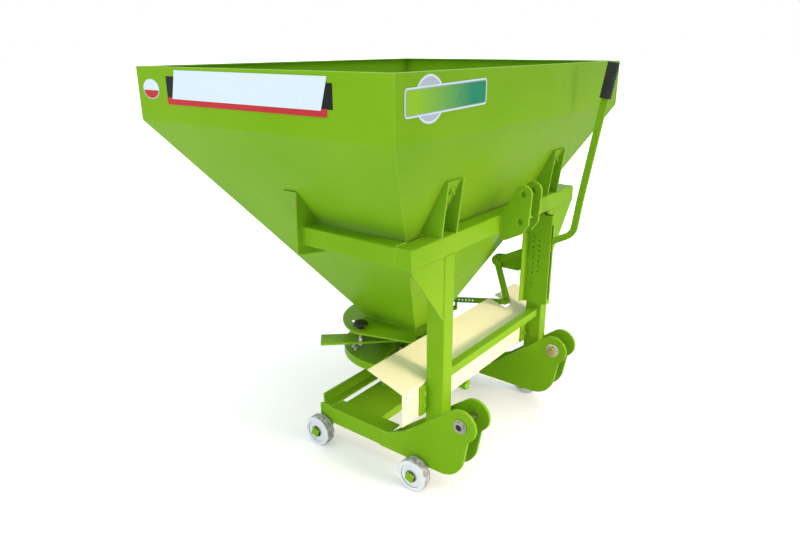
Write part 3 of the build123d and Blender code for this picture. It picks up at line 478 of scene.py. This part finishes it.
for side in (-1, 1):
    add_bead(welds, (side * post_outer, 0.0, cheek_foot), (side * post_outer, 0.0, cheek_top_front), fillet)
    add_bead(welds, (side * post_outer, post_rear, cheek_foot),
             (side * post_outer, post_rear, cheek_top_rear), fillet)
    add_bead(welds, (side * (post_outer + 0.001), 0.001, cheek_slope_front),
             (side * (post_outer + 0.001), 0.054, cheek_slope_rear), 0.0024)
    add_bead(welds, (side * spacer_weld_x, spacer_weld_y, spacer_weld_heights[0]),
             (side * spacer_weld_x, spacer_weld_y, spacer_weld_heights[1]), fillet)
    pin = (side * cheek_outside, hitch_y, hitch_z)
    add_turned(collars, pin, (side, 0, 0), (
        (0.0004, 0.0195), (0.0030, 0.0195), (0.0038, 0.0187), (0.0040, 0.0152), (0.0085, 0.0150),
        (0.0094, 0.0140), (0.0094, 0.0098), (0.0086, 0.0090), (0.0053, 0.0088),
    ), 40)
    # Painted shade: a near-black disc on the floor of the drilled end, standing in for the shade deep in the
    # bore.
    add_turned(bore_shade_discs, (side * pin_head_face, hitch_y, hitch_z), (side, 0, 0), (
        (0.0001, 0.0088), (0.0007, 0.0084),
    ))
    tip = (side * cheek_inside, hitch_y, hitch_z)
    add_turned(pin_washers, tip, (-side, 0, 0), ((0.0002, 0.0220), (0.0020, 0.0220), (0.0026, 0.0212)), 32)
    add_turned(nuts, tip, (-side, 0, 0), ((0.0026, 0.0165), (0.0095, 0.0165), (0.0105, 0.0150)), 6)
    for notch in range(nut_posts):
        around = 2 * math.pi / nut_posts * notch
        post = Vector((-side * 0.0100, 0.0105 * math.cos(around), 0.0105 * math.sin(around)))
        add_turned(nuts, Vector(tip) + post, (-side, 0, 0), (
            (0.0, 0.0034), (0.0036, 0.0034), (0.0042, 0.0028),
        ), 8)
    add_turned(nuts, tip, (-side, 0, 0), ((0.0100, 0.0072), (0.0150, 0.0070), (0.0162, 0.0058)), 20)
    add_turned(nuts, (side * (cheek_inside - 0.0125), hitch_y, hitch_z - 0.017), (0, 0, 1), (
        (0.0, 0.0008), (0.0005, 0.0014), (0.0335, 0.0014), (0.0340, 0.0008),
    ), 8)
piece_from("cheek_welds", welds, green_coat, "frame")
piece_from("hitch_pin_collars", collars, steel, "frame")
piece_from("hitch_pin_bore_shade", bore_shade_discs, painted_shade_black, "frame")
piece_from("hitch_pin_washers", pin_washers, zinc, "frame")
piece_from("hitch_pin_nuts", nuts, yellow_zinc, "frame")

# Base frame. Angle-steel rails welded to the cheeks' heels, an angle across their rear ends and
# the folded gearbox tray welded under their flanges.
rail_top = 0.125
rail_inside = 0.261
rail_outside = 0.313
rail_weld_heights = (0.075, 0.119)
cheek_heel = 0.2105
angle_front = 0.400
angle_rear = 0.432
coat(green_coat, "base_rail_left", "base_rail_right", "rear_beam", "gearbox_tray")
welds = bmesh.new()
for side in (-1, 1):
    add_bead(welds, (side * (rail_inside + 0.001), angle_front, rail_top),
             (side * (rail_outside - 0.001), angle_front, rail_top), 0.0024)
    add_bead(welds, (side * rail_outside, cheek_heel, rail_weld_heights[0]),
             (side * rail_outside, cheek_heel, rail_weld_heights[1]), light_fillet)
    add_bead(welds, (side * rail_outside, angle_front + 0.001, rail_top),
             (side * rail_outside, angle_rear - 0.001, rail_top), thin_fillet)
    add_bead(welds, (side * rail_inside, angle_front + 0.002, rail_top),
             (side * rail_inside, angle_rear - 0.002, rail_top), light_fillet)
piece_from("base_welds", welds, green_coat, "frame")

# Transport rollers. Turned from white nylon rod, each on a bolt through a welded leg. A near-black
# washer under the bolt's square head is painted shade for the hub's recess; the treads are scuffed grey and
# ringed by the turning tool.
roller_face = 0.350
roller_places = (0.071, 0.432)
roller_height = 0.047
scuffed_grey = (0.24, 0.25, 0.235)
nylon = finish_of("white_nylon", (0.62, 0.69, 0.73), (0.80, 0.86, 0.89), 0.45,
                  grain=500.0, depth=0.00012, edge=0.0015, shine=0.4)
tree = nylon.node_tree
shader = tree.nodes["Principled BSDF"]
spots = tree.nodes["Texture Coordinate"].outputs
facing = tree.nodes.new("ShaderNodeSeparateXYZ")
tree.links.new(spots["Normal"], facing.inputs["Vector"])
flat = combined(tree, "ABSOLUTE", facing.outputs["X"], 0.0)
tread = ranged(tree, flat, 1.0, 0.0, 0.35, 0.92)
scuffs = ranged(tree, noise(tree, 90.0, 6.0, spots["Object"]), 0.35, 1.0, 0.35, 0.6)
scuffed = combined(tree, "MULTIPLY", tread, scuffs)
plain = shader.inputs["Base Color"].links[0].from_socket
tree.links.new(mix_colour(tree, scuffed, plain, scuffed_grey), shader.inputs["Base Color"])
rings = tree.nodes.new("ShaderNodeTexWave")
rings.inputs["Scale"].default_value = 85.0
rings.inputs["Distortion"].default_value = 1.5
tree.links.new(spots["Object"], rings.inputs["Vector"])
ribs = tree.nodes.new("ShaderNodeBump")
ribs.inputs["Distance"].default_value = 0.0005
tree.links.new(combined(tree, "MULTIPLY", rings.outputs["Fac"], tread), ribs.inputs["Height"])
tree.links.new(shader.inputs["Normal"].links[0].from_socket, ribs.inputs["Normal"])
tree.links.new(ribs.outputs["Normal"], shader.inputs["Normal"])
for end in ("front", "rear"):
    for side in ("left", "right"):
        coat(green_coat, f"wheel_bracket_{end}_{side}")
        coat(nylon, f"wheel_{end}_{side}")
# Painted shade: near-black rings under the bolt heads, standing in for the shade in each hub's recess.
hub_shade_rings = bmesh.new()
for side in (-1, 1):
    for y in roller_places:
        add_turned(hub_shade_rings, (side * roller_face, y, roller_height), (side, 0, 0), (
            (0.0003, 0.0172), (0.0014, 0.0172), (0.0018, 0.0166),
        ))
piece_from("roller_hub_shade_rings", hub_shade_rings, painted_shade_black, "frame")

# Gearbox and input shaft. Cast housing on a bolted foot, painted with the frame; the shaft ends
# in a six-spline stub with a locking groove, which takes the tractor's drive shaft.
cast_coat = finish_of("painted_casting", lime, lime_light, 0.45, grain=260.0, depth=0.00035, edge=0.002,
                      shine=0.3, gloss=lime_gloss)
coat(cast_coat, "gearbox")
input_z = 0.161
foot_top = 0.130
foot_bolt_x = 0.098
foot_bolt_ys = (0.305, 0.365)
cover_face = 0.2702
cover_bolt_radius = 0.0275
bolts = bmesh.new()
for side in (-1, 1):
    for y in foot_bolt_ys:
        spot = (side * foot_bolt_x, y, foot_top)
        add_bolt(bolts, spot, (0, 0, 1), across=0.015, height=0.008, washer=0.012)
for step in range(4):
    angle = math.pi / 4 + step * math.pi / 2
    x = cover_bolt_radius * math.cos(angle)
    z = input_z + cover_bolt_radius * math.sin(angle)
    add_bolt(bolts, (x, cover_face, z), (0, -1, 0), across=0.008, height=0.005, washer=0.0055)
piece_from("gearbox_bolts", bolts, zinc, "frame")
spline_root = 0.0145
spline_tip = 0.0172
spline_count = 6
spline_points = 8
body_radius = 0.0209
stub = bmesh.new()
stub_rings = []
for along, root, tip in (
    (0.1072, 0.0118, 0.0135), (0.1100, spline_root, spline_tip),
    (0.1238, spline_root, spline_tip), (0.1240, spline_root, spline_root + 0.0002),
    (0.1318, spline_root, spline_root + 0.0002), (0.1320, spline_root, spline_tip),
    (0.1790, spline_root, spline_tip), (0.1860, spline_tip, spline_tip),
    (0.1872, body_radius - 0.001, body_radius - 0.001), (0.1880, body_radius, body_radius),
    (0.3190, body_radius, body_radius),
):
    ring = []
    for point in range(spline_count * spline_points):
        around = -2 * math.pi * point / (spline_count * spline_points)
        radius = tip if point % spline_points < spline_points / 2 else root
        ring.append(stub.verts.new((radius * math.cos(around), along, input_z + radius * math.sin(around))))
    stub_rings.append(ring)
join_rings(stub, stub_rings)
stub_piece = piece_from("splined_input_stub", stub, cast_coat, "input")
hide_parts("input_shaft")

# Spinning disc and agitator. Pressed pan with a turned-down edge, four angle vanes bolted on and a
# keyed hub on the steel spindle, whose upper end carries the agitator's fingers.
coat(green_coat, "spinning_disc")
coat(steel, "agitator_spindle")
disc_y = 0.362
disc_top = 0.244
vane_angle = 20.0
vane_flange = 0.004
vane_bolt_reaches = (0.070, 0.150)
vane_bolt_aside = 0.012
edge_bolt_radius = 0.168
edge_bolt_angles = (34.5, 42.0)
bolts = bmesh.new()
for vane in range(4):
    turned = vane_angle + 90 * vane
    lean = math.radians(turned)
    spots = []
    for reach in vane_bolt_reaches:
        x = reach * math.cos(lean) - vane_bolt_aside * math.sin(lean)
        y = disc_y + reach * math.sin(lean) + vane_bolt_aside * math.cos(lean)
        spots.append((x, y, disc_top + vane_flange))
    for apart in edge_bolt_angles:
        around = math.radians(turned + apart)
        x = edge_bolt_radius * math.cos(around)
        spots.append((x, disc_y + edge_bolt_radius * math.sin(around), disc_top))
    for spot in spots:
        add_bolt(bolts, spot, (0, 0, 1), across=0.010, height=0.005, washer=0.0075)
piece_from("disc_bolts", bolts, zinc, "spinner")

# Outlet. Welded band with a ported floor, the turned bush under it, the shutter and the setting
# lever on the bush, and the quadrant whose arc slot takes the clamp knob's zinc-plated bolt.
knob_black = finish_of("knob_black", (0.005, 0.005, 0.005), (0.014, 0.014, 0.014), 0.35,
                       grain=700.0, depth=0.00005, coat=0.1, shine=0.3)
coat(green_coat, "outlet_band", "quadrant_plate", "setting_lever", "shutter", "shutter_arm")
coat(steel, "shutter_bush")
coat(knob_black, "clamp_knob")
slot_radius = 0.165
knob_angle = math.radians(163)
knob_x = slot_radius * math.cos(knob_angle)
knob_y = disc_y + slot_radius * math.sin(knob_angle)
setting_top = 0.288
setting_foot = 0.282
quadrant_foot = 0.326
sleeve_foot = 0.009
sleeve_ridge = 0.0007
sleeve = bmesh.new()
add_bolt(sleeve, (knob_x, knob_y, setting_top), (0, 0, 1), across=0.014, height=sleeve_foot, washer=0.0125)
add_turned(sleeve, (knob_x, knob_y, setting_top), (0, 0, 1), [
    (sleeve_foot + sleeve_ridge * step, 0.0056 if step % 2 else 0.0050) for step in range(31)
], 16)
add_bolt(sleeve, (knob_x, knob_y, quadrant_foot), (0, 0, -1), across=0.014, height=0.0075, washer=0.0125)
add_bolt(sleeve, (knob_x, knob_y, setting_foot), (0, 0, -1), across=0.019, height=0.0078, washer=0.0125)
piece_from("knob_bolt", sleeve, zinc, "frame")
welds = bmesh.new()
band_x = 0.072
band_y = 0.103
band_top = 0.331
for side in (-1, 1):
    add_bead(welds, (side * band_x, disc_y - band_y, band_top),
             (side * band_x, disc_y + band_y, band_top), light_fillet)
    add_bead(welds, (-band_x, disc_y + side * band_y, band_top),
             (band_x, disc_y + side * band_y, band_top), light_fillet)
piece_from("outlet_welds", welds, green_coat, "frame")

# Control gear. Flat-bar lever on a pin behind the left post, worked in a folded slotted guide with
# index holes, and a flat link from its hanging arm to the shutter's lug. The guide's rear edge is
# folded out towards the middle of the machine.
rubber = finish_of("grip_rubber", (0.008, 0.008, 0.009), (0.024, 0.025, 0.026), 0.6,
                   grain=900.0, depth=0.00012, edge=0.0008, shine=0.35)
coat(green_coat, "lever_guide", "lever_pivot_plate", "control_lever", "link_rod")
coat(rubber, "lever_grip")
guide_x = 0.240
fold_y = 0.050
fold_width = 0.035
fold_sheet = 0.003
guide_foot = 0.3855
guide_top = 0.6755
fold_slant = 0.007
stop_bolt = (post_inner, 0.018, 0.668)
post_bolt = (-post_inner, 0.012, 0.636)
lever_pivot = (0.2405, 0.163, 0.496)
link_front_pin = (0.2346, 0.118, 0.362)
link_end_y = 0.314
link_end_z = 0.322
link_pin_end = 0.2208
link_pin_radius = 0.0039
link_nut_face = 0.2104
link_inner_face = 0.2388
guide_weld_heights = (guide_foot + 0.004, 0.53)
guide_weld_length = 0.06
pivot_weld_heights = (0.490, 0.530)
flange = bmesh.new()
flange_rings = []
for y in (fold_y, fold_y + fold_sheet):
    outline = (
        (guide_x - fold_width, guide_foot + fold_slant), (guide_x - 0.0002, guide_foot),
        (guide_x - 0.0002, guide_top), (guide_x - fold_width, guide_top - fold_slant),
    )
    flange_rings.append([flange.verts.new((x, y, z)) for x, z in outline])
join_rings(flange, flange_rings)
bmesh.ops.recalc_face_normals(flange, faces=flange.faces)
piece_from("guide_rear_flange", flange, green_coat, "frame")
bolts = bmesh.new()
add_bolt(bolts, stop_bolt, (-1, 0, 0), across=0.013, height=0.005, washer=0.0100)
add_bolt(bolts, post_bolt, (1, 0, 0), across=0.013, height=0.006, washer=0.0085)
piece_from("post_bolts", bolts, zinc, "frame")
bolts = bmesh.new()
add_bolt(bolts, lever_pivot, (-1, 0, 0), across=0.010, height=0.003, washer=0.0075)
piece_from("lever_pivot_cap", bolts, painted_bolt, "frame")
bolts = bmesh.new()
add_bolt(bolts, link_front_pin, (-1, 0, 0), across=0.013, height=0.006, washer=0.0085, thread=0.003)
piece_from("lever_link_nut", bolts, painted_bolt, "lever")
bolts = bmesh.new()
add_turned(bolts, (link_pin_end, link_end_y, link_end_z), (-1, 0, 0), (
    (0.0, link_pin_radius), (link_pin_end - link_nut_face, link_pin_radius),
), 16)
add_bolt(bolts, (link_nut_face, link_end_y, link_end_z), (-1, 0, 0),
         across=0.013, height=0.006, washer=0.0092, thread=0.003)
add_bolt(bolts, (link_inner_face, link_end_y, link_end_z), (-1, 0, 0),
         across=0.013, height=0.0032, washer=0.0085)
piece_from("link_rear_nuts", bolts, zinc, "link")
welds = bmesh.new()
for z in guide_weld_heights:
    add_bead(welds, (post_inner + 0.003, -0.0006, z),
             (post_inner + 0.003, -0.0006, z + guide_weld_length), thin_fillet)
add_bead(welds, (post_inner, post_rear, pivot_weld_heights[0]),
         (post_inner, post_rear, pivot_weld_heights[1]), thin_fillet)
piece_from("guide_welds", welds, green_coat, "frame")

# Deflector. Folded 2 mm sheet in cream paint, held to the posts by two welded flats a side, each
# with two bolts.
cream = finish_of("cream_coat", (0.87, 0.84, 0.56), (0.92, 0.89, 0.63), 0.4, grain=peel_size, shine=0.3)
coat(cream, "deflector")
coat(green_coat, "deflector_clamp_left", "deflector_clamp_right")
clamp_face = 0.0498
clamp_bolt_xs = (0.324, 0.246)
clamp_bolt_heights = (0.267, 0.305)
bolts = bmesh.new()
for side in (-1, 1):
    for x in clamp_bolt_xs:
        for z in clamp_bolt_heights:
            add_bolt(bolts, (side * x, clamp_face, z), (0, -1, 0), across=0.013, height=0.007, washer=0.010)
piece_from("clamp_bolts", bolts, painted_bolt, "frame")

# Studio. A pale floor that runs out to a white surround, soft lamps above, at the near side and
# in front, and the camera at the height and bearing of the photograph.
camera_at = Vector((-1.5367, -0.8116, 1.1696))
bearing = math.radians(-52.32)
pitch = math.radians(19.05)
roll = math.radians(-0.23)
lens_mm = 28.81
floor_glow = 0.26
glow_start = 0.9
glow_stop = 2.8
sky_light = 0.70
floor_mesh = bmesh.new()
bmesh.ops.create_grid(floor_mesh, x_segments=1, y_segments=1, size=60.0)
floor_data = bpy.data.meshes.new("studio_floor")
floor_mesh.to_mesh(floor_data)
floor_mesh.free()
floor = bpy.data.objects.new("studio_floor", floor_data)
bpy.context.scene.collection.objects.link(floor)
floor.location.z = -0.0005
floor_paint = bpy.data.materials.new("pale_floor")
floor_paint.use_nodes = True
tree = floor_paint.node_tree
shader = tree.nodes["Principled BSDF"]
shader.inputs["Base Color"].default_value = (0.84, 0.86, 0.89, 1.0)
shader.inputs["Roughness"].default_value = 0.9
shader.inputs["Specular IOR Level"].default_value = 0.1
shader.inputs["Emission Color"].default_value = (1.0, 1.0, 1.0, 1.0)
rays = tree.nodes.new("ShaderNodeLightPath")
distance = tree.nodes.new("ShaderNodeVectorMath")
distance.operation = "LENGTH"
tree.links.new(tree.nodes.new("ShaderNodeTexCoord").outputs["Object"], distance.inputs[0])
glow = ranged(tree, distance.outputs["Value"], floor_glow, 1.0, glow_start, glow_stop)
glow = combined(tree, "MULTIPLY", rays.outputs["Is Camera Ray"], glow)
tree.links.new(glow, shader.inputs["Emission Strength"])
floor_data.materials.append(floor_paint)

world = bpy.data.worlds.new("studio_world")
bpy.context.scene.world = world
world.use_nodes = True
tree = world.node_tree
sky = tree.nodes["Background"]
rays = tree.nodes.new("ShaderNodeLightPath")
seen = combined(tree, "MAXIMUM", rays.outputs["Is Camera Ray"], rays.outputs["Is Transmission Ray"])
seen = combined(tree, "MAXIMUM", seen, rays.outputs["Is Glossy Ray"])
tree.links.new(ranged(tree, seen, sky_light, 1.0, 0.0, 1.0), sky.inputs["Strength"])
sky.inputs["Color"].default_value = (1.0, 1.0, 1.0, 1.0)


def lamp(name, place, aim, size, watts, tint=(1.0, 1.0, 1.0), spread=180.0):
    """Soft square lamp that looks at a point."""
    light = bpy.data.lights.new(name, "AREA")
    light.size = size
    light.energy = watts
    light.color = tint
    light.spread = math.radians(spread)
    thing = bpy.data.objects.new(name, light)
    thing.location = place
    thing.rotation_euler = (Vector(aim) - Vector(place)).to_track_quat("-Z", "Y").to_euler()
    thing.visible_camera = False
    bpy.context.scene.collection.objects.link(thing)


middle = (0.0, 0.3, 0.6)
lamp("tractor_side_lamp", (0.6, -3.4, 1.6), middle, 2.4, 11.0, (1.0, 0.97, 0.90))
lamp("low_front_lamp", (0.3, -2.4, 1.0), (-0.1, 0.1, 0.16), 1.2, 4.8, (1.0, 0.72, 0.60), 26.0)
lamp("near_side_lamp", (-3.6, 0.4, 0.9), (0.0, 0.3, 0.3), 2.2, 34.0)
lamp("top_lamp", (0.0, 0.2, 4.0), middle, 4.2, 92.0)

camera_data = bpy.data.cameras.new("photo_camera")
camera_data.sensor_width = 36.0
camera_data.lens = lens_mm
camera = bpy.data.objects.new("photo_camera", camera_data)
bpy.context.scene.collection.objects.link(camera)
camera.location = camera_at
back = Vector((math.sin(bearing) * math.cos(pitch), -math.cos(bearing) * math.cos(pitch), math.sin(pitch)))
level = (-back).to_track_quat("-Z", "Y").to_matrix()
camera.rotation_euler = (level @ Matrix.Rotation(roll, 3, "Z")).to_euler()
bpy.context.scene.camera = camera
bpy.context.scene.view_settings.view_transform = "Standard"
